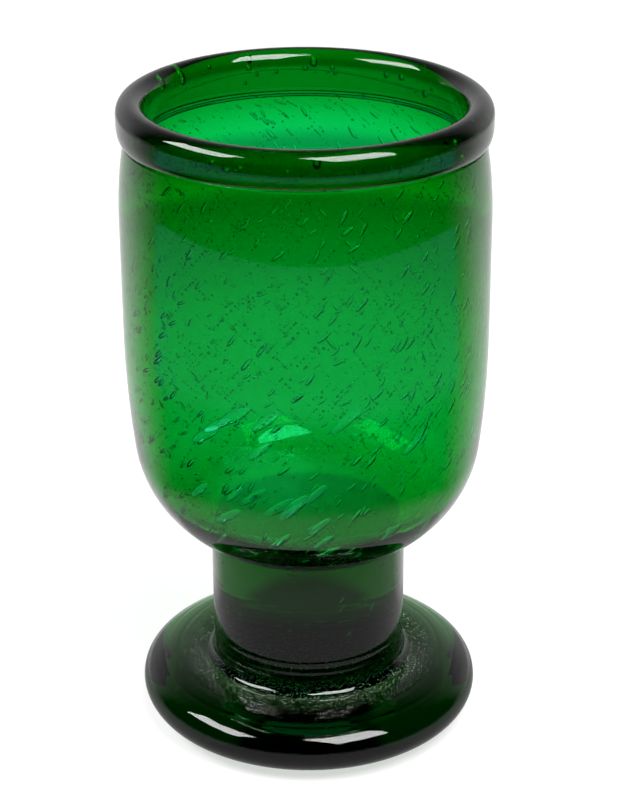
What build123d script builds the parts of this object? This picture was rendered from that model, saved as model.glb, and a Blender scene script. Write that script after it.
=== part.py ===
from build123d import *
import os

# A blown glass goblet in four pieces that are melted together: foot, stem, bowl and lip.
# Millimetres. +Z is up along the axis of the goblet, and the origin is on the axis in the
# plane that the foot stands on.

# Heights of the four pieces, one standing on the other
FOOT_HEIGHT = 13.7
STEM_HEIGHT = 32.4
BOWL_HEIGHT = 95.1
LIP_HEIGHT = 8.8

# Foot: a thick disc with a rounded edge and a shallow hollow underneath
FOOT_RADIUS = 39.5
FOOT_WIDEST_HEIGHT = 7.1      # height of the widest part of the edge
FOOT_BROW_INSET = 2.7         # where the edge turns into the top, measured in from the edge
FOOT_BROW_DROP = 2.1          # and down from the stem's seat
FOOT_CHIN_INSET = 2.7         # where the edge turns into the underside, in from the edge
FOOT_CHIN_HEIGHT = 2.5        # and up from the ground
FOOT_REST_RADIUS = 31.5       # outside of the flat ring that it stands on
FOOT_HOLLOW_RADIUS = 24.0     # inside of that ring
FOOT_HOLLOW_DEPTH = 1.2

# Stem: a solid round bar that flares a little where it meets the foot
STEM_RADIUS = 22.5
STEM_FLARE = 1.6
STEM_FLARE_HEIGHT = 2.2

# Bowl: nearly straight sides, drawn in to a neck under the lip, and a rounded underside
BOWL_RADIUS = 40.9
NECK_INSET = 1.6              # how far the wall is drawn in under the lip
SHOULDER_DROP = 18.2          # length of the drawn-in part, below the lip
SIDE_RISE = 50.0              # start of the straight side, above the bowl's base
TURN_RISE = 23.4              # where the side turns into the underside, above the base
TURN_INSET = 1.5              # how far the side has drawn in at that height

# Thickness of the bowl's wall, which swells towards the lip, and the shape of its bottom
NECK_WALL = 4.7
SHOULDER_WALL = 2.7
SIDE_WALL = 2.0
BOWL_FLOOR = 3.0              # thickness of the bottom on the axis
CORNER_REACH = 20.0           # how far the inner side runs on down before it turns in
FLOOR_REACH = 18.0            # how far the bottom stays flat on its way out

# Lip: a rounded ring on the rim of the wall
LIP_OVERHANG = 1.5            # beyond the outside of the wall
LIP_ROLL = 4.0                # height of its widest part over the crease
ROLL_FULLNESS = 0.6           # how far the roll holds its width and its height on its way in
LIP_BULGE = 0.2               # beyond the inside of the wall

# Levels of the seats, worked out from the heights
STEM_SEAT = FOOT_HEIGHT
BOWL_SEAT = STEM_SEAT + STEM_HEIGHT
LIP_SEAT = BOWL_SEAT + BOWL_HEIGHT
TOP = LIP_SEAT + LIP_HEIGHT

# Outside of the wall under the lip, where the lip sits on it
NECK_RADIUS = BOWL_RADIUS - NECK_INSET

UPWARD = (0, 1)
DOWNWARD = (0, -1)
OUTWARD = (1, 0)


def turned(edges):
    """One solid of revolution about Z from the edges of half its section, drawn in X and Z."""
    section = Plane.XZ * make_face(Wire(edges))
    return revolve(section, Axis.Z, 360)


def foot():
    """Disc with a bullnose edge, a domed top with the stem's flat seat, and a hollow underside."""
    hollow_top = (0, FOOT_HOLLOW_DEPTH)
    hollow_rim = (FOOT_HOLLOW_RADIUS, 0)
    rest_edge = (FOOT_REST_RADIUS, 0)
    chin = (FOOT_RADIUS - FOOT_CHIN_INSET, FOOT_CHIN_HEIGHT)
    widest = (FOOT_RADIUS, FOOT_WIDEST_HEIGHT)
    brow = (FOOT_RADIUS - FOOT_BROW_INSET, FOOT_HEIGHT - FOOT_BROW_DROP)
    seat_edge = (STEM_RADIUS + STEM_FLARE, STEM_SEAT)
    seat_centre = (0, STEM_SEAT)
    lower_edge = TangentArc(widest, chin, tangent=DOWNWARD)
    upper_edge = TangentArc(widest, brow, tangent=UPWARD)
    return turned([
        TangentArc(hollow_top, hollow_rim, tangent=OUTWARD),
        Line(hollow_rim, rest_edge),
        TangentArc(chin, rest_edge, tangent=lower_edge % 1),
        lower_edge,
        upper_edge,
        TangentArc(brow, seat_edge, tangent=upper_edge % 1),
        Line(seat_edge, seat_centre),
        Line(seat_centre, hollow_top),
    ])


def stem():
    """Solid bar from the foot to the bowl, with a hollow curve out to the foot."""
    bottom_centre = (0, STEM_SEAT)
    flare_edge = (STEM_RADIUS + STEM_FLARE, STEM_SEAT)
    flare_top = (STEM_RADIUS, STEM_SEAT + STEM_FLARE_HEIGHT)
    top_edge = (STEM_RADIUS, BOWL_SEAT)
    top_centre = (0, BOWL_SEAT)
    return turned([
        Line(bottom_centre, flare_edge),
        TangentArc(flare_top, flare_edge, tangent=DOWNWARD),
        Line(flare_top, top_edge),
        Line(top_edge, top_centre),
        Line(top_centre, bottom_centre),
    ])


def bowl_side(neck_wall, shoulder_wall, side_wall):
    """The bowl's side from the neck down to the turn, this far inside the outer surface."""
    neck = (NECK_RADIUS - neck_wall, LIP_SEAT)
    shoulder = (BOWL_RADIUS - shoulder_wall, LIP_SEAT - SHOULDER_DROP)
    side = (BOWL_RADIUS - side_wall, BOWL_SEAT + SIDE_RISE)
    turn = (BOWL_RADIUS - TURN_INSET - side_wall, BOWL_SEAT + TURN_RISE)
    straight = Line(shoulder, side)
    return [
        TangentArc(shoulder, neck, tangent=-(straight % 0)),
        straight,
        TangentArc(side, turn, tangent=straight % 1),
    ]


def bowl():
    """Open vessel: outer and inner side, a rounded underside and a flat bottom with a round corner."""
    outer = bowl_side(0, 0, 0)
    inner = bowl_side(NECK_WALL, SHOULDER_WALL, SIDE_WALL)
    outer_turn = outer[-1] @ 1
    inner_turn = inner[-1] @ 1
    base_edge = (STEM_RADIUS, BOWL_SEAT)
    base_centre = (0, BOWL_SEAT)
    floor_centre = (0, BOWL_SEAT + BOWL_FLOOR)
    inner_corner = inner_turn + (inner[-1] % 1) * CORNER_REACH
    floor_end = (FLOOR_REACH, BOWL_SEAT + BOWL_FLOOR)
    return turned(outer + inner + [
        TangentArc(outer_turn, base_edge, tangent=outer[-1] % 1),
        Line(base_edge, base_centre),
        Line(base_centre, floor_centre),
        Bezier(inner_turn, inner_corner, floor_end, floor_centre),
        Line(inner[0] @ 1, outer[0] @ 1),
    ])


def lip():
    """Ring with a half-round top, a full roll down to the crease and a slight bulge inside."""
    seat_outer = (NECK_RADIUS, LIP_SEAT)
    seat_inner = (NECK_RADIUS - NECK_WALL, LIP_SEAT)
    outer_radius = NECK_RADIUS + LIP_OVERHANG
    inner_radius = NECK_RADIUS - NECK_WALL - LIP_BULGE
    top_round = (outer_radius - inner_radius) / 2
    roll = (outer_radius, LIP_SEAT + LIP_ROLL)
    roll_side = (outer_radius, LIP_SEAT + LIP_ROLL * (1 - ROLL_FULLNESS))
    roll_under = (NECK_RADIUS + LIP_OVERHANG * ROLL_FULLNESS, LIP_SEAT)
    outer_shoulder = (outer_radius, TOP - top_round)
    inner_shoulder = (inner_radius, TOP - top_round)
    return turned([
        Line(seat_inner, seat_outer),
        Bezier(roll, roll_side, roll_under, seat_outer),
        Line(roll, outer_shoulder),
        TangentArc(outer_shoulder, inner_shoulder, tangent=UPWARD),
        TangentArc(inner_shoulder, seat_inner, tangent=DOWNWARD),
    ])


os.makedirs("parts", exist_ok=True)
export_step(foot(), "parts/foot.step")
export_step(stem(), "parts/stem.step")
export_step(bowl(), "parts/bowl.step")
export_step(lip(), "parts/lip.step")
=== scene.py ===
"""Blown green glass goblet: the looks of its four pieces, built over the CAD frame."""

import math
import random

import bmesh
import bpy
from bpy.props import FloatProperty, FloatVectorProperty, IntProperty, PointerProperty
from mathutils import Matrix, Vector, geometry, noise


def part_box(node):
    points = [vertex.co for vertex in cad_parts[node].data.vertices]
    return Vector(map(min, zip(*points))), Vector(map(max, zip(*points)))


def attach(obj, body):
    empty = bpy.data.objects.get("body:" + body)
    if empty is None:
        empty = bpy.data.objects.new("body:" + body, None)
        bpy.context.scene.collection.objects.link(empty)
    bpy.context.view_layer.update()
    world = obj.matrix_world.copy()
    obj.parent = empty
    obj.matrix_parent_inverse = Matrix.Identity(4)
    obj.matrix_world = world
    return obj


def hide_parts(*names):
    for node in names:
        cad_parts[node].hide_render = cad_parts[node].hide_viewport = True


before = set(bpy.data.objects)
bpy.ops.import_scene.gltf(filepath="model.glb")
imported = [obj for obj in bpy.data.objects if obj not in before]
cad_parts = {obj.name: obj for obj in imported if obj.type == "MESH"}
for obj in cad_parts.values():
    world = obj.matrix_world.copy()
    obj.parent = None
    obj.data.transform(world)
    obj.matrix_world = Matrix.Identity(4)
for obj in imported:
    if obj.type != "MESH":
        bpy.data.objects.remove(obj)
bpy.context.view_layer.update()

bl_info = {
    "name": "Green Glass Goblet",
    "version": (1, 0, 0),
    "blender": (4, 5, 0),
    "location": "View3D > Sidebar > Goblet",
    "description": "Builds a blown green glass goblet with seeds and bubbles in its walls",
    "category": "Add Mesh",
}

MM = 0.001

# Sizes that the frame gives
STEM_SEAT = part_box("stem")[0].z
BOWL_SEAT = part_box("bowl")[0].z
LIP_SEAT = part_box("lip")[0].z
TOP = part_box("lip")[1].z
FOOT_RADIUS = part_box("foot")[1].x
FLARE_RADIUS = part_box("stem")[1].x
BOWL_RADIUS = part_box("bowl")[1].x
LIP_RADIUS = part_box("lip")[1].x

# The melted faces of two pieces stay this far apart, so that a ray leaves one before it enters the other
SEAM = 0.02 * MM

# Directions in a section, where x is the distance from the axis and y is the height
UP = Vector((0, 1))
DOWN = Vector((0, -1))
OUT = Vector((1, 0))

# Faces round the goblet, and the angle between two faces from which their edge is sharp
AROUND_STEPS = 168
SHARP_ANGLE = math.radians(35)

# Half width of the rings that the glassmaker's tool left
RING_WIDTH = 0.5 * MM

# Half lengths from which a bubble is drawn as a long one and as a large flat one
LONG_BUBBLE = 0.4 * MM
FLAT_BUBBLE = 2.2 * MM

# Part of the long bubbles that is left out low on the back of the bowl
BACK_THINNING = 0.75

# Heights over the bowl's base between which the large flat bubbles lie, and how far to the front they have
# to be, as a part of the radius
FLAT_LOWEST = 13 * MM
FLAT_HIGHEST = 46 * MM
FLAT_FRONT = 0.8

# Flaws of the lip: where the bruise is, and where the thin air line starts and ends and how thick it is
BRUISE_ANGLE = math.radians(44)
AIR_LINE_START = math.radians(8)
AIR_LINE_END = math.radians(150)
AIR_LINE_RADIUS = 0.28 * MM

# Amounts of dust round the stem and of haze and painted sheen on the bowl's bottom, and what the bottom
# gains per metre backwards
FOOT_DUST = 0.55
# The haze's sheen is painted light that brightens the bowl's bottom, most at the back, where it lightens
# the dark seat
BOWL_HAZE_AND_SHEEN = 1.05
HAZE_AND_SHEEN_GAIN = 5.5

# Grain of the dust: its fineness, the noise at which a speck starts and is full, and how fast dust and
# painted sheen fill up
GRAIN_SCALE = 2600.0
SPECK_START = 0.62
SPECK_FULL = 0.65
DUST_AND_SHEEN_GAIN = 1.6

# The sky: what matt surfaces get of its white, and what mirrors show of the backdrop low down and overhead
SKY_ON_MATT = 0.4
BACKDROP_LOW = 0.60
BACKDROP_HIGH = 0.04

# Light added to the paper: for the camera, and for glass beside, far behind and right behind the goblet
PAPER_WHITE = 0.6
PAPER_BESIDE = 0.2
PAPER_FAR = 0.62
PAPER_RIM = 0.8

# What the goblet's own shadow takes of the paper's colour where glass shows it
SHADOW = 0.6

# What mirrors show of the floor: near the goblet, of the table in front of it, and behind it
MIRROR_NEAR = 0.45
MIRROR_TABLE = 0.45
MIRROR_BACK = 0.9

# Red in the table's cool light, as a part of its green and blue
TABLE_RED = 0.25

# How often light may pass through glass, and how often it may be mirrored
GLASS_BOUNCES = 48
MIRROR_BOUNCES = 16


def length(name, description, default):
    """A length that a user may change, in metres."""
    return FloatProperty(
        name=name, description=description, default=default, unit="LENGTH", precision=5,
    )


def share(name, description, default):
    """A part of a whole, from 0 to 1."""
    return FloatProperty(
        name=name, description=description, default=default, min=0.0, max=1.0, precision=3,
    )


def count(name, description, default):
    """How many of something there are."""
    return IntProperty(name=name, description=description, default=default, min=0)


class FootSizes(bpy.types.PropertyGroup):
    widest_height: length("Widest height", "Height of the widest part of the edge", 7.1 * MM)
    brow_inset: length("Brow inset", "Where the edge turns into the top, in from the edge", 2.7 * MM)
    brow_drop: length("Brow drop", "How far the brow lies under the stem's seat", 2.1 * MM)
    chin_inset: length("Chin inset", "Where the edge turns into the underside, in from the edge", 2.7 * MM)
    chin_height: length("Chin height", "Height of the chin over the ground", 2.5 * MM)
    rest_radius: length("Rest radius", "Outside of the flat ring that the foot stands on", 31.5 * MM)
    hollow_radius: length("Hollow radius", "Inside of that ring", 24.0 * MM)
    hollow_depth: length("Hollow depth", "Depth of the hollow under the foot", 1.2 * MM)
    ring_radius: length("Ring radius", "Radius of the outer one of two tool rings on the top", 34.6 * MM)
    ring_step: length("Ring step", "From the outer ring to the inner one", 3.6 * MM)
    ring_depth: length("Ring depth", "Depth of those rings", 0.05 * MM)


class StemSizes(bpy.types.PropertyGroup):
    radius: length("Radius", "Radius of the bar", 22.5 * MM)
    flare_height: length("Flare height", "Height of the curve out to the foot", 2.2 * MM)
    ring_rise: length("Ring rise", "Height of the first of the tool's rings over the foot", 3.6 * MM)
    ring_step: length("Ring step", "From one of those rings to the next", 2.1 * MM)
    ring_depth: length("Ring depth", "Depth of those rings", 0.06 * MM)


class BowlSizes(bpy.types.PropertyGroup):
    neck_wall: length("Neck wall", "Thickness of the wall under the lip", 4.7 * MM)
    shoulder_wall: length("Shoulder wall", "Thickness at the top of the straight side", 2.7 * MM)
    side_wall: length("Side wall", "Thickness from the straight side down", 2.0 * MM)
    floor: length("Floor", "Thickness of the bottom on the axis", 3.0 * MM)
    corner_reach: length("Corner reach", "How far the inner side runs on before it turns in", 20.0 * MM)
    floor_reach: length("Floor reach", "How far the bottom stays flat on its way out", 18.0 * MM)
    crease_width: length("Crease width", "Half width of the crease under the lip", 0.3 * MM)
    crease_depth: length("Crease depth", "Depth of that crease", 0.22 * MM)
    neck_inset: length("Neck inset", "How far the wall is drawn in under the lip", 1.6 * MM)
    shoulder_drop: length("Shoulder drop", "Length of the drawn-in part", 18.2 * MM)
    side_rise: length("Side rise", "Start of the straight side over the base", 50.0 * MM)
    turn_rise: length("Turn rise", "Where the side turns under, over the base", 23.4 * MM)
    turn_inset: length("Turn inset", "How far the side has drawn in at the turn", 1.5 * MM)


class LipSizes(bpy.types.PropertyGroup):
    overhang: length("Overhang", "How far the lip stands out over the neck", 1.5 * MM)
    roll: length("Roll", "Height of the lip's widest part over the crease", 4.0 * MM)
    fullness: share("Fullness", "How far the roll holds its width and its height on its way in", 0.6)
    bulge: length("Bulge", "How far the lip stands in over the inside of the neck", 0.2 * MM)


class HandWork(bpy.types.PropertyGroup):
    lean: FloatProperty(
        name="Lean", description="How far the goblet leans to the left over its height",
        default=-0.9 * MM, unit="LENGTH", precision=5,
    )
    seat_rise: length("Seat rise", "How much higher the crease under the lip is in front", 0.6 * MM)
    seat_drop: length("Seat drop", "How much lower it is at the back", 1.6 * MM)
    seat_reach: length("Seat reach", "How far up and down the glass follows the crease", 4.0 * MM)
    swell: length("Swell", "Height of the slow waves in the glass", 0.10 * MM)
    swell_size: length("Swell size", "Length of those waves", 30.0 * MM)
    ripple: length("Ripple", "Height of the quicker waves, which die out towards the foot", 0.015 * MM)
    ripple_size: length("Ripple size", "Length of the quicker waves", 8.0 * MM)


class Bubbles(bpy.types.PropertyGroup):
    bowl_long: count("Long bubbles", "Drawn-out bubbles in the bowl, before the back is thinned out", 2000)
    bowl_seeds: count("Seeds", "Single seeds and strings of seeds in the wall of the bowl", 1400)
    bowl_flat: count("Flat bubbles", "Large bubbles low on the bowl, of which the front ones are kept", 100)
    lip_round: count("Lip bubbles", "Round bubbles in the lip", 110)
    lip_bruise: count("Lip bruise", "Tiny bubbles in the bruised spot of the lip", 40)
    stem_long: count("Stem bubbles", "Drawn-out bubbles near the surface of the stem", 80)
    foot_seeds: count("Foot seeds", "Tiny bubbles under the top of the foot", 260)
    slant: FloatProperty(
        name="Slant", description="Turn of the long bubbles away from upright", default=math.radians(42),
        subtype="ANGLE",
    )


class GlassLook(bpy.types.PropertyGroup):
    tint: FloatVectorProperty(
        name="Tint", description="Colour that the glass lets through", default=(0.08, 0.9105, 0.675),
        subtype="COLOR", min=0.0, max=1.0,
    )
    depth: FloatProperty(
        name="Depth", description="How strongly the bowl takes up light", default=2400.0, min=0.0,
    )
    lip_depth: FloatProperty(
        name="Lip depth", description="The same for the lip", default=3200.0, min=0.0,
    )
    foot_depth: FloatProperty(
        name="Foot depth", description="The same for the foot", default=2100.0, min=0.0,
    )
    # The stem's depth is far below the other pieces', so the stem shows lighter and greener: painted light
    # for light reaching it from the bowl
    stem_depth: FloatProperty(
        name="Stem depth", description="The same for the paler glass of the stem", default=640.0, min=0.0,
    )
    refraction: FloatProperty(
        name="Refraction", description="Index of refraction of the glass", default=1.5, min=1.0, max=2.0,
    )


class StageLook(bpy.types.PropertyGroup):
    view_distance: length("View distance", "Camera to the point that it looks at", 507.1 * MM)
    view_height: length("View height", "Height of the point that the camera looks at", 78.08 * MM)
    view_rise: FloatProperty(
        name="View rise", description="Angle of the camera over the ground", default=math.radians(24.61),
        subtype="ANGLE",
    )
    lens: FloatProperty(name="Lens", description="Focal length", default=100.2, min=1.0, unit="CAMERA")
    floor_size: length("Floor size", "Side of the floor", 6.0)
    floor_colour: FloatVectorProperty(
        name="Floor", description="Colour of the floor", default=(0.38, 0.38, 0.38), subtype="COLOR",
        min=0.0, max=1.0,
    )
    left_place: FloatVectorProperty(
        name="Left softbox", description="Place of the left softbox", default=(-0.685, -0.16, 0.79),
        subtype="TRANSLATION", unit="LENGTH",
    )
    left_size: FloatVectorProperty(
        name="Left size", description="Width and height of the left softbox", default=(0.74, 0.36),
        size=2, unit="LENGTH",
    )
    right_place: FloatVectorProperty(
        name="Right softbox", description="Place of the right softbox", default=(0.348, -0.402, 0.946),
        subtype="TRANSLATION", unit="LENGTH",
    )
    right_size: FloatVectorProperty(
        name="Right size", description="Width and height of the right softbox", default=(0.62, 0.64),
        size=2, unit="LENGTH",
    )
    box_glow: FloatProperty(
        name="Softbox glow", description="Brightness of the softboxes' fronts", default=12.2, min=0.0,
    )


class GobletSettings(bpy.types.PropertyGroup):
    foot: PointerProperty(type=FootSizes)
    stem: PointerProperty(type=StemSizes)
    bowl: PointerProperty(type=BowlSizes)
    lip: PointerProperty(type=LipSizes)
    hand: PointerProperty(type=HandWork)
    bubbles: PointerProperty(type=Bubbles)
    glass: PointerProperty(type=GlassLook)
    stage: PointerProperty(type=StageLook)


def settings():
    """The settings of this scene."""
    return bpy.context.scene.goblet


# Outlines of the pieces

def line(points, end, steps):
    """Adds points on the straight line from the last point to end."""
    start = points[-1].copy()
    for step in range(1, steps + 1):
        points.append(start.lerp(Vector(end), step / steps))


def arc(points, end, heading, steps):
    """Adds the arc that leaves the last point along heading and ends at end; returns its last heading."""
    start = points[-1].copy()
    chord = Vector(end) - start
    half = math.atan2(heading.cross(chord), heading.dot(chord))
    radius = chord.length / (2 * math.sin(half))
    for step in range(1, steps + 1):
        swing = half * step / steps
        points.append(start + (Matrix.Rotation(swing, 2) @ heading) * (2 * radius * math.sin(swing)))
    return Matrix.Rotation(2 * half, 2) @ heading


def groove(points, centre, width, depth):
    """Presses a soft groove into the points near centre, towards smaller radius and height."""
    for point in points:
        away = (point - centre).length / width
        point -= Vector((1, 1)) * (depth * math.exp(-away * away))


def foot_outline(sizes):
    """Half section of the foot from the top of its hollow round to the middle of the stem's seat."""
    rest_edge = Vector((sizes.rest_radius, 0))
    chin = Vector((FOOT_RADIUS - sizes.chin_inset, sizes.chin_height))
    widest = Vector((FOOT_RADIUS, sizes.widest_height))
    brow = Vector((FOOT_RADIUS - sizes.brow_inset, STEM_SEAT - sizes.brow_drop))
    points = [Vector((0, sizes.hollow_depth))]
    arc(points, (sizes.hollow_radius, 0), OUT, 16)
    line(points, rest_edge, 6)
    lower = [widest]
    heading = arc(lower, chin, DOWN, 20)
    arc(lower, rest_edge, heading, 24)
    points += lower[-2::-1]
    heading = arc(points, brow, UP, 12)
    top = [brow]
    arc(top, (FLARE_RADIUS, STEM_SEAT), heading, 64)
    for ring in range(2):
        radius = sizes.ring_radius - ring * sizes.ring_step
        centre = min(top, key=lambda point: abs(point.x - radius)).copy()
        groove(top[1:-1], centre, RING_WIDTH, sizes.ring_depth)
    points += top[1:]
    points.append(Vector((0, STEM_SEAT)))
    return points


def stem_outline(sizes):
    """Half section of the stem from the middle of its bottom to the middle of its top."""
    bottom = STEM_SEAT + SEAM
    flare_top = Vector((sizes.radius, bottom + sizes.flare_height))
    flare = [flare_top]
    arc(flare, (FLARE_RADIUS, bottom), DOWN, 10)
    bar = [flare_top]
    line(bar, (sizes.radius, BOWL_SEAT), 80)
    for ring in range(3):
        centre = Vector((sizes.radius, bottom + sizes.ring_rise + ring * sizes.ring_step))
        groove(bar[1:-1], centre, RING_WIDTH, sizes.ring_depth)
    return [Vector((0, bottom))] + flare[::-1] + bar[1:] + [Vector((0, BOWL_SEAT))]


def bowl_side(sizes, neck_wall, shoulder_wall, side_wall):
    """The bowl's side from neck to turn, this far inside its outer surface, and its last heading."""
    neck = Vector((BOWL_RADIUS - sizes.neck_inset - neck_wall, LIP_SEAT))
    shoulder = Vector((BOWL_RADIUS - shoulder_wall, LIP_SEAT - sizes.shoulder_drop))
    side = Vector((BOWL_RADIUS - side_wall, BOWL_SEAT + sizes.side_rise))
    turn = Vector((BOWL_RADIUS - sizes.turn_inset - side_wall, BOWL_SEAT + sizes.turn_rise))
    heading = (side - shoulder).normalized()
    drawn_in = [shoulder]
    arc(drawn_in, neck, -heading, 28)
    points = drawn_in[::-1]
    line(points, side, 18)
    return points, arc(points, turn, heading, 18)


def bowl_outlines(sizes, stem):
    """Outer and inner half sections of the bowl, from the lip's seat to the base, point for point."""
    base = BOWL_SEAT + SEAM
    outer, heading = bowl_side(sizes, 0, 0, 0)
    arc(outer, (stem.radius, base), heading, 26)
    inner, heading = bowl_side(sizes, sizes.neck_wall, sizes.shoulder_wall, sizes.side_wall)
    turn = inner[-1].copy()
    corner = turn + heading * sizes.corner_reach
    bottom = Vector((0, BOWL_SEAT + sizes.floor))
    flat_end = bottom + OUT * sizes.floor_reach
    inner += geometry.interpolate_bezier(turn, corner, flat_end, bottom, 27)[1:]
    return outer, inner


def bowl_outline(sizes, stem):
    """Half section of the bowl from the middle of its base, round the wall, to the middle of its floor."""
    outer, inner = bowl_outlines(sizes, stem)
    neck = outer[0]
    crease_foot = neck + DOWN * 2 * sizes.crease_width
    crease_bottom = neck + DOWN * sizes.crease_width - OUT * sizes.crease_depth
    base_centre = Vector((0, BOWL_SEAT + SEAM))
    return [base_centre] + outer[:0:-1] + [crease_foot, crease_bottom, neck] + inner


def lip_outline(sizes, bowl):
    """Closed section of the lip, from the inside of its seat."""
    level = LIP_SEAT + SEAM
    seat_outer = Vector((LIP_RADIUS - sizes.overhang, level))
    seat_inner = Vector((seat_outer.x - bowl.neck_wall, level))
    opening_radius = seat_inner.x - sizes.bulge
    top_round = (LIP_RADIUS - opening_radius) / 2
    widest = Vector((LIP_RADIUS, level + sizes.roll))
    side = Vector((LIP_RADIUS, level + sizes.roll * (1 - sizes.fullness)))
    under = seat_outer + OUT * (sizes.overhang * sizes.fullness)
    points = [seat_inner] + geometry.interpolate_bezier(seat_outer, under, side, widest, 17)
    line(points, (LIP_RADIUS, TOP - top_round), 4)
    arc(points, (opening_radius, TOP - top_round), UP, 28)
    arc(points, seat_inner, DOWN, 14)
    return points[:-1]


# Turning an outline into glass

def turned(outline, closed):
    """A bmesh turned about the goblet's axis from an outline."""
    bm = bmesh.new()
    corners = [bm.verts.new((point.x, 0, point.y)) for point in outline]
    pairs = list(zip(corners, corners[1:]))
    if closed:
        pairs.append((corners[-1], corners[0]))
    edges = [bm.edges.new(pair) for pair in pairs]
    bmesh.ops.spin(
        bm, geom=corners + edges, cent=(0, 0, 0), axis=(0, 0, 1), angle=math.tau, steps=AROUND_STEPS,
        use_merge=True,
    )
    bmesh.ops.remove_doubles(bm, verts=bm.verts, dist=0.0001 * MM)
    bmesh.ops.recalc_face_normals(bm, faces=bm.faces)
    for face in bm.faces:
        face.smooth = True
    for edge in bm.edges:
        edge.smooth = edge.calc_face_angle(0) < SHARP_ANGLE
    return bm


def mark_melted(bm, levels):
    """Marks the flat faces at these heights, where the piece is melted to the next one."""
    melted = bm.faces.layers.float.new("melted")
    for face in bm.faces:
        if any(all(abs(vert.co.z - level) < SEAM / 10 for vert in face.verts) for level in levels):
            face[melted] = 1.0


def fade(value, full, none):
    """Falls evenly from 1 to 0 as value goes from full to none."""
    return min(max((none - value) / (none - full), 0), 1)


def mark_dust_and_sheen(bm, amount):
    """Marks how much dust, and on the bowl how much painted sheen, lies on what looks up; amount gives the
    most that lies at a place.
    """
    dust = bm.verts.layers.float.new("dust")
    for vert in bm.verts:
        upright = max(vert.normal.z, 0) ** 0.5
        vert[dust] = upright * amount(vert.co)


def foot_dust(place):
    """Dust on the foot: a ring round the stem."""
    return FOOT_DUST * fade(place.xy.length, FLARE_RADIUS + 2 * MM, FLARE_RADIUS + 7 * MM)


def bowl_haze_and_sheen(place):
    """Haze on the bottom of the bowl, whose sheen is painted light that brightens it, thicker towards the
    back over the dark seat.
    """
    return (BOWL_HAZE_AND_SHEEN + HAZE_AND_SHEEN_GAIN * place.y) * fade(place.xy.length, 22 * MM, 36 * MM)


def round_shape(around_steps, rings):
    """Points and faces of a unit ball, with faces that look inwards because a bubble is a hollow."""
    ball = bmesh.new()
    bmesh.ops.create_uvsphere(ball, u_segments=around_steps, v_segments=rings, radius=1)
    bmesh.ops.recalc_face_normals(ball, faces=ball.faces)
    bmesh.ops.reverse_faces(ball, faces=ball.faces)
    ball.verts.index_update()
    points = [vert.co.copy() for vert in ball.verts]
    faces = [[vert.index for vert in face.verts] for face in ball.faces]
    ball.free()
    return points, faces


def add_bubbles(bm, bubbles):
    """Adds the bubbles as hollows in the glass; each is a place, its axes, and its half length."""
    shapes = {"seed": round_shape(4, 3), "long": round_shape(6, 5), "flat": round_shape(14, 11)}
    for place, axes, half in bubbles:
        kind = "seed" if half < LONG_BUBBLE else "long" if half < FLAT_BUBBLE else "flat"
        points, faces = shapes[kind]
        verts = [bm.verts.new(place + axes @ point) for point in points]
        for face in faces:
            bm.faces.new([verts[index] for index in face]).smooth = True


def bubble(place, along, outward, sizes):
    """One drawn-out bubble: sizes are its half lengths along, across and through the wall."""
    across = outward.cross(along).normalized()
    axes = Matrix((across * sizes[1], outward * sizes[2], along * sizes[0])).transposed()
    return place, axes, sizes[0]


def around(angle, radius, level):
    """The point at this angle about the axis, radius and height."""
    return Vector((radius * math.cos(angle), radius * math.sin(angle), level))


def spots(chance, outer, inner, lowest, highest):
    """Endless places in the wall between two outlines, each with its way up, its way out and the wall."""
    rungs = [pair for pair in zip(outer, inner) if lowest < pair[0].y < highest]
    steps = list(zip(rungs, rungs[1:]))
    weights = [lower[0].x * (lower[0] - upper[0]).length for upper, lower in steps]
    while True:
        upper, lower = chance.choices(steps, weights)[0]
        part = chance.random()
        outside = upper[0].lerp(lower[0], part)
        inside = upper[1].lerp(lower[1], part)
        middle = outside.lerp(inside, chance.uniform(0.42, 0.58))
        rise = (upper[0] - lower[0]).normalized()
        angle = chance.uniform(0, math.tau)
        up = around(angle, rise.x, rise.y)
        outward = around(angle, rise.y, -rise.x)
        yield around(angle, middle.x, middle.y), up, outward, (outside - inside).length


def follow(place, along, outward, distance):
    """The place this far along the curve of the wall."""
    ahead = place + along * distance
    pull = math.hypot(place.x, place.y) / math.hypot(ahead.x, ahead.y)
    same_radius = Vector((ahead.x * pull, ahead.y * pull, ahead.z))
    return same_radius - outward * (distance * along.z * outward.z)


def slanted(up, outward, angle):
    """The direction in the wall that is turned by this angle from the way up."""
    return Matrix.Rotation(-angle, 3, outward) @ up


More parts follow.
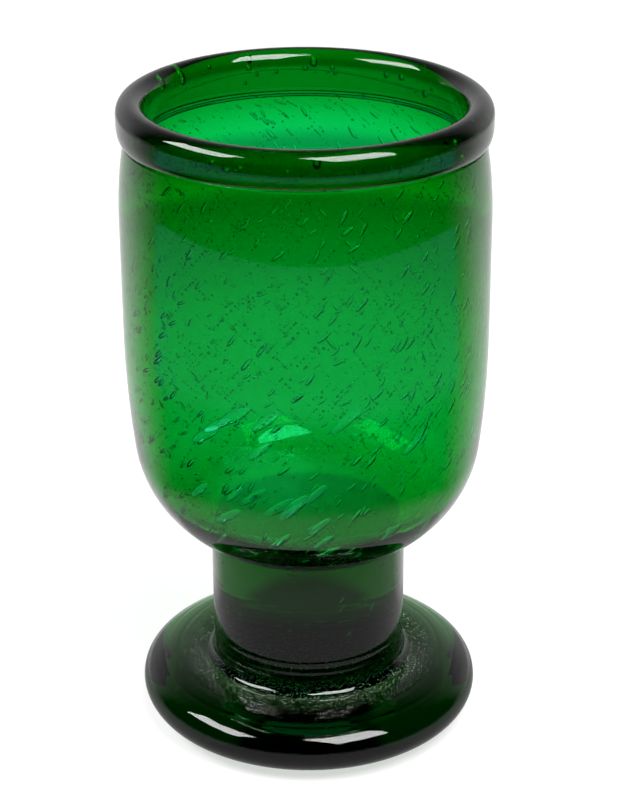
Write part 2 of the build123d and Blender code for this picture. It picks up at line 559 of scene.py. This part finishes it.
def bowl_bubbles(goblet):
    """Long bubbles, seeds and, low in front, large flat bubbles in the wall of the bowl."""
    sizes = goblet.bubbles
    outer, inner = bowl_outlines(goblet.bowl, goblet.stem)
    chance = random.Random(11)
    anywhere = spots(chance, outer, inner, BOWL_SEAT + 4 * MM, LIP_SEAT - 2 * MM)
    for _ in range(sizes.bowl_long):
        place, up, outward, wall = next(anywhere)
        low_on_back = place.y > 0 and place.z < LIP_SEAT - goblet.bowl.shoulder_drop
        if low_on_back and chance.random() < BACK_THINNING:
            continue
        half = (0.42 + 1.5 * chance.random() ** 2) * MM
        width = half * chance.uniform(0.24, 0.34)
        along = slanted(up, outward, sizes.slant + chance.gauss(0, 0.16))
        yield bubble(place, along, outward, (half, width, min(width * 0.22, wall * 0.3)))
    for _ in range(sizes.bowl_seeds):
        place, up, outward, wall = next(anywhere)
        along = slanted(up, outward, sizes.slant)
        for _ in range(chance.choice((1, 1, 1, 3, 6))):
            half = (0.14 + 0.19 * chance.random() ** 2) * MM
            yield bubble(place, along, outward, (half * 1.3, half, half))
            place = follow(place, along, outward, chance.uniform(0.7, 1.8) * MM)
    low = spots(chance, outer, inner, BOWL_SEAT + FLAT_LOWEST, BOWL_SEAT + FLAT_HIGHEST)
    for _ in range(sizes.bowl_flat):
        place, up, outward, wall = next(low)
        if place.y > -FLAT_FRONT * math.hypot(place.x, place.y):
            continue
        half = chance.uniform(2.6, 4.8) * MM
        along = slanted(up, outward, sizes.slant + chance.gauss(0.12, 0.08))
        yield bubble(place, along, outward, (half, half * chance.uniform(0.22, 0.3), wall * 0.05))


def lip_middle(goblet):
    """Middle of the lip's section."""
    opening = LIP_RADIUS - goblet.lip.overhang - goblet.bowl.neck_wall - goblet.lip.bulge
    return Vector(((LIP_RADIUS + opening) / 2, (LIP_SEAT + TOP) / 2))


def lip_bubbles(goblet):
    """Round bubbles in the lip, a little drawn out round the mouth, and one bruise of tiny flat ones."""
    chance = random.Random(12)
    middle = lip_middle(goblet)
    for _ in range(goblet.bubbles.lip_round):
        angle = chance.uniform(0, math.tau)
        turn = chance.uniform(0, math.tau)
        off = 2.2 * MM * math.sqrt(chance.random())
        half = (0.15 + 0.75 * chance.random() ** 2.5) * MM
        place = around(angle, middle.x + off * math.cos(turn), middle.y + off * math.sin(turn))
        along = around(angle + math.pi / 2, 1, 0)
        yield bubble(place, along, around(angle, 1, 0), (half * 1.2, half, half))
    round_centre = TOP - (LIP_RADIUS - middle.x)
    for _ in range(goblet.bubbles.lip_bruise):
        angle = BRUISE_ANGLE + chance.gauss(0, 0.05)
        half = chance.uniform(0.15, 0.45) * MM
        turn = chance.uniform(1.8, 2.7)
        deep = chance.uniform(1.9, 2.6) * MM
        place = around(angle, middle.x + deep * math.cos(turn), round_centre + deep * math.sin(turn))
        along = around(angle + chance.gauss(0, 0.8), 1, 0)
        yield bubble(place, along, Vector((0, 0, 1)), (half, half * 0.6, half * 0.3))


def add_air_line(bm, middle, start, end, thickness):
    """Adds a thin drawn-out hollow that wanders round inside the lip between two angles."""
    steps = 90
    sides = 5
    turns = [math.tau * side / sides for side in range(sides)]
    rings = []
    for step in range(steps + 1):
        part = step / steps
        angle = start + (end - start) * part
        sway = Vector((0.5 * math.sin(5 * part + 1), 0.95 * math.cos(3 * angle - 5.2) - 0.65)) * MM
        centre = middle + sway
        thin = thickness * max(math.sin(math.pi * part), 0.1) ** 0.5
        section = [centre + Vector((math.cos(turn), math.sin(turn))) * thin for turn in turns]
        rings.append([bm.verts.new(around(angle, point.x, point.y)) for point in section])
    faces = []
    for near, far in zip(rings, rings[1:]):
        for side in range(sides):
            after = (side + 1) % sides
            faces.append(bm.faces.new((near[side], near[after], far[after], far[side])))
    faces.append(bm.faces.new(rings[0][::-1]))
    faces.append(bm.faces.new(rings[-1]))
    bmesh.ops.recalc_face_normals(bm, faces=faces)
    bmesh.ops.reverse_faces(bm, faces=faces)
    for face in faces:
        face.smooth = True


def stem_bubbles(goblet):
    """Small bubbles under the surface of the stem, most of them near its top."""
    chance = random.Random(13)
    for _ in range(goblet.bubbles.stem_long):
        angle = chance.uniform(0, math.tau)
        half = (0.4 + 0.9 * chance.random() ** 2) * MM
        level = BOWL_SEAT - 2 * MM - (BOWL_SEAT - STEM_SEAT) * 0.5 * chance.random() ** 2
        place = around(angle, goblet.stem.radius - 0.3 * MM - half * 0.4, level)
        along = slanted(Vector((0, 0, 1)), around(angle, 1, 0), goblet.bubbles.slant)
        yield bubble(place, along, around(angle, 1, 0), (half, half * 0.3, half * 0.3))


def foot_bubbles(goblet):
    """Seeds under the top of the foot, thickest round the stem."""
    chance = random.Random(14)
    span = FOOT_RADIUS - goblet.foot.brow_inset - FLARE_RADIUS
    for _ in range(goblet.bubbles.foot_seeds):
        angle = chance.uniform(0, math.tau)
        half = (0.05 + 0.12 * chance.random() ** 3) * MM
        out = 0.05 + 0.8 * chance.random() ** 1.6
        level = STEM_SEAT - chance.uniform(1.2, 2.2) * MM - goblet.foot.brow_drop * out * out
        place = around(angle, FLARE_RADIUS + span * out, level)
        yield bubble(place, around(angle + math.pi / 2, 1, 0), Vector((0, 0, 1)), (half, half, half))


def wave(place, size, seed):
    """Slow random wave between about -1 and 1."""
    return noise.noise(place / size + Vector((seed, 0, 0)))


def shape_by_hand(bm, hand):
    """Gives the turned glass the lean, the uneven lip and the slow waves of hand work."""
    middle = (hand.seat_rise - hand.seat_drop) / 2
    tilt = (hand.seat_rise + hand.seat_drop) / 2
    for vert in bm.verts:
        place = vert.co.copy()
        outward = Vector((place.x, place.y, 0))
        if outward.length > 1 * MM:
            outward.normalize()
            calm = fade(place.z, STEM_SEAT, BOWL_SEAT)
            push = hand.swell * wave(place, hand.swell_size, 7.3)
            push += hand.ripple * (1 - calm) * wave(place, hand.ripple_size, 2.1)
            vert.co += outward * push
        away = (place.z - LIP_SEAT) / hand.seat_reach
        vert.co.z += (middle - tilt * outward.y) * math.exp(-away * away)
        vert.co.x += hand.lean * place.z / TOP


def finish_piece(bm, name, node, glass):
    """Makes the piece's object, which stands for its CAD node."""
    shape_by_hand(bm, settings().hand)
    mesh = bpy.data.meshes.new(name)
    bm.to_mesh(mesh)
    bm.free()
    mesh.materials.append(glass)
    piece = bpy.data.objects.new(name, mesh)
    bpy.context.scene.collection.objects.link(piece)
    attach(piece, "root")
    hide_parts(node)


# Materials

def put(tree, socket, value):
    """Sets a socket to a number or links another socket to it."""
    if isinstance(value, bpy.types.NodeSocket):
        tree.links.new(value, socket)
    else:
        socket.default_value = value


def maths(tree, operation, *values):
    """Output of a Math node on these numbers or sockets."""
    node = tree.nodes.new("ShaderNodeMath")
    node.operation = operation
    for socket, value in zip(node.inputs, values):
        put(tree, socket, value)
    return node.outputs[0]


def ease(tree, value, low, high, at_low, at_high):
    """Output that goes smoothly from at_low to at_high as value goes from low to high."""
    node = tree.nodes.new("ShaderNodeMapRange")
    node.interpolation_type = "SMOOTHSTEP"
    put(tree, node.inputs["Value"], value)
    node.inputs["From Min"].default_value = low
    node.inputs["From Max"].default_value = high
    node.inputs["To Min"].default_value = at_low
    node.inputs["To Max"].default_value = at_high
    return node.outputs["Result"]


def settle_dust_and_sheen(tree, shader):
    """Pale specks of dust on the glass, and the bowl bottom's painted sheen, as much as the mesh is marked
    with.
    """
    dust = tree.nodes.new("ShaderNodeAttribute")
    dust.attribute_name = "dust"
    grain = tree.nodes.new("ShaderNodeTexNoise")
    grain.inputs["Scale"].default_value = GRAIN_SCALE
    put(tree, grain.inputs["Vector"], tree.nodes.new("ShaderNodeTexCoord").outputs["Object"])
    specks = ease(tree, grain.outputs["Fac"], SPECK_START, SPECK_FULL, -1.0, 0.0)
    settled = maths(tree, "MULTIPLY_ADD", dust.outputs["Fac"], DUST_AND_SHEEN_GAIN, specks)
    settled.node.use_clamp = True
    put(tree, shader.inputs["Sheen Weight"], settled)
    shader.inputs["Sheen Roughness"].default_value = 1.0
    # The sheen's green tint is painted light: the colour of light that came through the green glass
    shader.inputs["Sheen Tint"].default_value = (0.75, 1.0, 0.7, 1)


def green_glass(name, depth, with_dust_and_sheen=False):
    """Clear green glass whose depth of colour comes from its thickness, with dust and painted sheen on it
    or none.
    """
    material = bpy.data.materials.get(name)
    if material:
        return material
    look = settings().glass
    material = bpy.data.materials.new(name)
    material.use_nodes = True
    tree = material.node_tree
    shader = tree.nodes["Principled BSDF"]
    shader.inputs["Base Color"].default_value = (1, 1, 1, 1)
    shader.inputs["Roughness"].default_value = 0.0
    shader.inputs["Transmission Weight"].default_value = 1.0
    melted = tree.nodes.new("ShaderNodeAttribute")
    melted.attribute_name = "melted"
    bend = maths(tree, "MULTIPLY_ADD", melted.outputs["Fac"], 1.0 - look.refraction, look.refraction)
    put(tree, shader.inputs["IOR"], bend)
    if with_dust_and_sheen:
        settle_dust_and_sheen(tree, shader)
    body = tree.nodes.new("ShaderNodeVolumeAbsorption")
    body.inputs["Color"].default_value = (*look.tint, 1)
    body.inputs["Density"].default_value = depth
    put(tree, tree.nodes["Material Output"].inputs["Volume"], body.outputs[0])
    return material


# Pieces

class GOBLET_OT_foot(bpy.types.Operator):
    """Build the foot"""
    bl_idname = "goblet.foot"
    bl_label = "Foot"

    def execute(self, context):
        goblet = settings()
        bm = turned(foot_outline(goblet.foot), closed=False)
        mark_melted(bm, [STEM_SEAT])
        mark_dust_and_sheen(bm, foot_dust)
        add_bubbles(bm, foot_bubbles(goblet))
        glass = green_glass("foot_green_glass", goblet.glass.foot_depth, with_dust_and_sheen=True)
        finish_piece(bm, "foot_glass", "foot", glass)
        return {"FINISHED"}


class GOBLET_OT_stem(bpy.types.Operator):
    """Build the stem"""
    bl_idname = "goblet.stem"
    bl_label = "Stem"

    def execute(self, context):
        goblet = settings()
        bm = turned(stem_outline(goblet.stem), closed=False)
        mark_melted(bm, [STEM_SEAT + SEAM, BOWL_SEAT])
        add_bubbles(bm, stem_bubbles(goblet))
        glass = green_glass("stem_green_glass", goblet.glass.stem_depth)
        finish_piece(bm, "stem_glass", "stem", glass)
        return {"FINISHED"}


class GOBLET_OT_bowl(bpy.types.Operator):
    """Build the bowl and the bubbles in its wall"""
    bl_idname = "goblet.bowl"
    bl_label = "Bowl"

    def execute(self, context):
        goblet = settings()
        bm = turned(bowl_outline(goblet.bowl, goblet.stem), closed=False)
        mark_melted(bm, [BOWL_SEAT + SEAM, LIP_SEAT])
        mark_dust_and_sheen(bm, bowl_haze_and_sheen)
        add_bubbles(bm, bowl_bubbles(goblet))
        glass = green_glass("bowl_green_glass", goblet.glass.depth, with_dust_and_sheen=True)
        finish_piece(bm, "bowl_glass", "bowl", glass)
        return {"FINISHED"}


class GOBLET_OT_lip(bpy.types.Operator):
    """Build the lip"""
    bl_idname = "goblet.lip"
    bl_label = "Lip"

    def execute(self, context):
        goblet = settings()
        bm = turned(lip_outline(goblet.lip, goblet.bowl), closed=True)
        mark_melted(bm, [LIP_SEAT + SEAM])
        add_bubbles(bm, lip_bubbles(goblet))
        add_air_line(bm, lip_middle(goblet), AIR_LINE_START, AIR_LINE_END, AIR_LINE_RADIUS)
        glass = green_glass("lip_green_glass", goblet.glass.lip_depth)
        finish_piece(bm, "lip_glass", "lip", glass)
        return {"FINISHED"}


# Stage

def mirrored(tree, rays):
    """1 for what is seen as a reflection, and 0 for the rest."""
    return maths(tree, "MULTIPLY", rays["Is Glossy Ray"], rays["Is Reflection Ray"])


def studio_world():
    """White all round; what mirrors show is darker overhead and on the camera's side."""
    world = bpy.data.worlds.new("studio")
    world.use_nodes = True
    tree = world.node_tree
    rays = tree.nodes.new("ShaderNodeLightPath").outputs
    direction = tree.nodes.new("ShaderNodeSeparateXYZ")
    put(tree, direction.inputs[0], tree.nodes.new("ShaderNodeTexCoord").outputs["Generated"])
    sky = maths(tree, "MULTIPLY_ADD", rays["Is Diffuse Ray"], SKY_ON_MATT - 1.0, 1.0)
    backdrop = ease(tree, direction.outputs["Z"], 0.2, 0.85, BACKDROP_LOW, BACKDROP_HIGH)
    behind = ease(tree, direction.outputs["Y"], 0.3, 0.7, 0.0, 1.0)
    strength = tree.nodes.new("ShaderNodeMix")
    put(tree, strength.inputs["Factor"], mirrored(tree, rays))
    put(tree, strength.inputs["A"], sky)
    put(tree, strength.inputs["B"], maths(tree, "MULTIPLY", backdrop, behind))
    put(tree, tree.nodes["Background"].inputs["Strength"], strength.outputs["Result"])
    tree.nodes["Background"].inputs["Color"].default_value = (1, 1, 1, 1)
    return world


def reach(tree, place, width, behind=0.0):
    """Distance of a place from a point this far behind the axis, its sideways part taken width times."""
    scaled = tree.nodes.new("ShaderNodeVectorMath")
    scaled.operation = "MULTIPLY_ADD"
    put(tree, scaled.inputs[0], place)
    scaled.inputs[1].default_value = (width, 1, 1)
    scaled.inputs[2].default_value = (0, -behind, 0)
    size = tree.nodes.new("ShaderNodeVectorMath")
    size.operation = "LENGTH"
    put(tree, size.inputs[0], scaled.outputs[0])
    return size.outputs["Value"]


def own_shadow(tree, place):
    """1 on the paper under the goblet and close behind it, which lies in its shadow, and 0 elsewhere."""
    under = ease(tree, reach(tree, place, 4.5), 0.060, 0.075, 1.0, 0.0)
    beyond = ease(tree, reach(tree, place, 1.9, 0.040), 0.031, 0.043, 1.0, 0.0)
    return maths(tree, "MAXIMUM", under, beyond)


def shaded_paper(tree, rays, shadow, colour):
    """The paper itself, which glass shows darker in the goblet's own shadow."""
    paper = tree.nodes.new("ShaderNodeBsdfDiffuse")
    shade = tree.nodes.new("ShaderNodeVectorMath")
    shade.operation = "SCALE"
    shade.inputs[0].default_value = colour
    through = maths(tree, "MULTIPLY", rays["Is Transmission Ray"], shadow)
    put(tree, shade.inputs["Scale"], maths(tree, "MULTIPLY_ADD", through, -SHADOW, 1.0))
    put(tree, paper.inputs["Color"], shade.outputs[0])
    return paper.outputs[0]


def white_glow(tree, rays, shadow, back, distance):
    """Makes the paper white for the camera, and brighter for glass beside and behind the goblet."""
    beside = maths(tree, "MULTIPLY_ADD", shadow, -PAPER_BESIDE, PAPER_BESIDE)
    beside = maths(tree, "MULTIPLY", beside, ease(tree, back, 0.26, 0.33, 1.0, 0.2))
    far = maths(tree, "ADD", beside, ease(tree, back, 0.48, 0.57, 0.0, PAPER_FAR))
    inside = ease(tree, distance, 0.028, 0.036, 0.0, PAPER_RIM)
    outside = ease(tree, distance, 0.044, 0.055, 1.0, 0.0)
    ring = maths(tree, "MULTIPLY", inside, outside)
    rim = maths(tree, "MULTIPLY", ring, ease(tree, back, -0.02, 0.01, 0.0, 1.0))
    through = maths(tree, "MULTIPLY", rays["Is Transmission Ray"], maths(tree, "ADD", far, rim))
    strength = maths(tree, "MULTIPLY_ADD", rays["Is Camera Ray"], PAPER_WHITE, through)
    glow = tree.nodes.new("ShaderNodeEmission")
    put(tree, glow.inputs["Strength"], strength)
    return glow.outputs[0]


def mirror_glow(tree, place, back, distance):
    """What mirrors show of the floor: white near the goblet and behind it, and a cool table in front."""
    near = ease(tree, distance, 0.09, 0.13, MIRROR_NEAR, 0.0)
    clear = ease(tree, distance, 0.045, 0.075, 0.0, MIRROR_BACK)
    away = maths(tree, "MULTIPLY", clear, ease(tree, distance, 0.45, 0.95, 1.0, 0.6))
    bearing = maths(tree, "DIVIDE", back, distance)
    behind = maths(tree, "MULTIPLY", ease(tree, bearing, -0.05, 0.72, 0.0, 1.0), away)
    white = maths(tree, "MAXIMUM", near, behind)
    table = ease(tree, distance, 0.19, 0.25, 0.0, MIRROR_TABLE)
    table = maths(tree, "MULTIPLY", table, ease(tree, reach(tree, place, 0.85), 0.42, 0.44, 1.0, 0.0))
    table = maths(tree, "MULTIPLY", table, ease(tree, back, 0.03, 0.11, 1.0, 0.0))
    cool = maths(tree, "MAXIMUM", table, white)
    warm = maths(tree, "MAXIMUM", maths(tree, "MULTIPLY", cool, TABLE_RED), white)
    tone = tree.nodes.new("ShaderNodeCombineColor")
    put(tree, tone.inputs["Red"], warm)
    put(tree, tone.inputs["Green"], cool)
    put(tree, tone.inputs["Blue"], cool)
    glow = tree.nodes.new("ShaderNodeEmission")
    put(tree, glow.inputs["Color"], tone.outputs[0])
    return glow.outputs[0]


def floor_paper(colour):
    """Pale paper, white round the goblet's shadow, with a look of its own for glass and for mirrors."""
    material = bpy.data.materials.new("floor_paper")
    material.use_nodes = True
    tree = material.node_tree
    tree.nodes.remove(tree.nodes["Principled BSDF"])
    rays = tree.nodes.new("ShaderNodeLightPath").outputs
    place = tree.nodes.new("ShaderNodeTexCoord").outputs["Object"]
    across = tree.nodes.new("ShaderNodeSeparateXYZ")
    put(tree, across.inputs[0], place)
    back = across.outputs["Y"]
    distance = reach(tree, place, 1.0)
    shadow = own_shadow(tree, place)
    lit = tree.nodes.new("ShaderNodeAddShader")
    put(tree, lit.inputs[0], shaded_paper(tree, rays, shadow, colour))
    put(tree, lit.inputs[1], white_glow(tree, rays, shadow, back, distance))
    mixed = tree.nodes.new("ShaderNodeMixShader")
    put(tree, mixed.inputs["Fac"], mirrored(tree, rays))
    put(tree, mixed.inputs[1], lit.outputs[0])
    put(tree, mixed.inputs[2], mirror_glow(tree, place, back, distance))
    put(tree, tree.nodes["Material Output"].inputs["Surface"], mixed.outputs[0])
    return material


def floor(look):
    """The floor that the goblet stands on."""
    bm = bmesh.new()
    bmesh.ops.create_grid(bm, x_segments=1, y_segments=1, size=look.floor_size / 2)
    mesh = bpy.data.meshes.new("floor")
    bm.to_mesh(mesh)
    bm.free()
    mesh.materials.append(floor_paper(look.floor_colour))
    sheet = bpy.data.objects.new("floor", mesh)
    bpy.context.scene.collection.objects.link(sheet)


def softbox(name, place, size, glow):
    """A rectangular lamp that looks at the middle of the goblet, with a front of this brightness."""
    target = Vector((0, 0, TOP / 2))
    lamp = bpy.data.lights.new(name, "AREA")
    lamp.shape = "RECTANGLE"
    lamp.size = size[0]
    lamp.size_y = size[1]
    lamp.energy = glow * math.pi * size[0] * size[1]
    holder = bpy.data.objects.new(name, lamp)
    holder.location = place
    holder.rotation_euler = (target - Vector(place)).to_track_quat("-Z", "Y").to_euler()
    holder.visible_camera = False
    bpy.context.scene.collection.objects.link(holder)


def camera(look):
    """The camera, at the viewing angle of the photograph."""
    target = Vector((0, 0, look.view_height))
    away = Vector((0, -math.cos(look.view_rise), math.sin(look.view_rise)))
    data = bpy.data.cameras.new("camera")
    data.lens = look.lens
    holder = bpy.data.objects.new("camera", data)
    holder.location = target + away * look.view_distance
    holder.rotation_euler = (-away).to_track_quat("-Z", "Y").to_euler()
    bpy.context.scene.collection.objects.link(holder)
    bpy.context.scene.camera = holder


class GOBLET_OT_stage(bpy.types.Operator):
    """Build the floor, the lights and the camera"""
    bl_idname = "goblet.stage"
    bl_label = "Stage"

    def execute(self, context):
        look = settings().stage
        scene = context.scene
        scene.world = studio_world()
        floor(look)
        softbox("softbox_left", look.left_place, look.left_size, look.box_glow)
        softbox("softbox_right", look.right_place, look.right_size, look.box_glow)
        camera(look)
        scene.view_settings.view_transform = "Standard"
        scene.cycles.max_bounces = GLASS_BOUNCES
        scene.cycles.transmission_bounces = GLASS_BOUNCES
        scene.cycles.glossy_bounces = MIRROR_BOUNCES
        return {"FINISHED"}


class GOBLET_PT_panel(bpy.types.Panel):
    """Lists the goblet's pieces and its stage"""
    bl_label = "Green Glass Goblet"
    bl_idname = "GOBLET_PT_panel"
    bl_space_type = "VIEW_3D"
    bl_region_type = "UI"
    bl_category = "Goblet"

    def draw(self, context):
        for operator in OPERATORS:
            self.layout.operator(operator.bl_idname)
        for name in GobletSettings.__annotations__:
            group = getattr(context.scene.goblet, name)
            box = self.layout.box()
            box.label(text=name.capitalize())
            for field in group.__annotations__:
                box.prop(group, field)


OPERATORS = (GOBLET_OT_foot, GOBLET_OT_stem, GOBLET_OT_bowl, GOBLET_OT_lip, GOBLET_OT_stage)
SIZES = (FootSizes, StemSizes, BowlSizes, LipSizes)
LOOKS = (HandWork, Bubbles, GlassLook, StageLook)
CLASSES = SIZES + LOOKS + (GobletSettings,) + OPERATORS + (GOBLET_PT_panel,)


def register():
    for cls in CLASSES:
        bpy.utils.register_class(cls)
    bpy.types.Scene.goblet = PointerProperty(type=GobletSettings)


def unregister():
    del bpy.types.Scene.goblet
    for cls in reversed(CLASSES):
        bpy.utils.unregister_class(cls)


def main():
    """Builds every piece and the stage."""
    register()
    bpy.ops.goblet.foot()
    bpy.ops.goblet.stem()
    bpy.ops.goblet.bowl()
    bpy.ops.goblet.lip()
    bpy.ops.goblet.stage()


if __name__ == "__main__":
    main()
